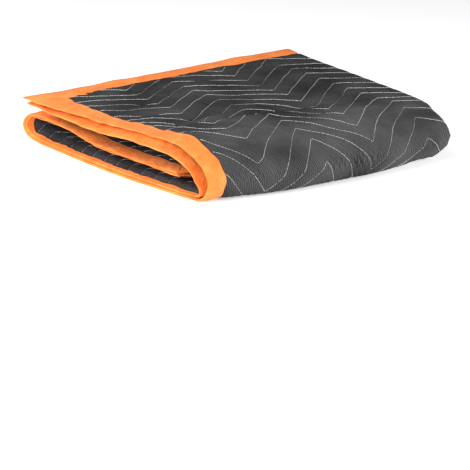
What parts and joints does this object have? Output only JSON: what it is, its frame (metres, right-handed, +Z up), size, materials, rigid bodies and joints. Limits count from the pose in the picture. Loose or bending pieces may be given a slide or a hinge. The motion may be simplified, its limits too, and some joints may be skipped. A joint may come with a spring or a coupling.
{
  "type": "moving pad",
  "caption": "Zigzag-quilted moving pad with bright bound edges, doubled over and letter-folded, lying flat as a thick soft bundle.",
  "frame": {"origin": "on the floor under the middle of the folded pad", "axes": "+Z up, -Y to the rolled front, -X to the side with the open bound edges, +X to the doubled end"},
  "size_m": [0.6506, 0.6264, 0.1045],
  "materials": {
    "quilted_cloth": "dark woven cloth with light zigzag stitching",
    "binding_tape": "bright orange woven tape, matte"
  },
  "bodies": {
    "root": {"quilt": "quilted_cloth", "binding_outer_side": "binding_tape", "binding_inner_side": "binding_tape", "binding_free_end": "binding_tape", "binding_tucked_end": "binding_tape"}
  },
  "joints": []
}
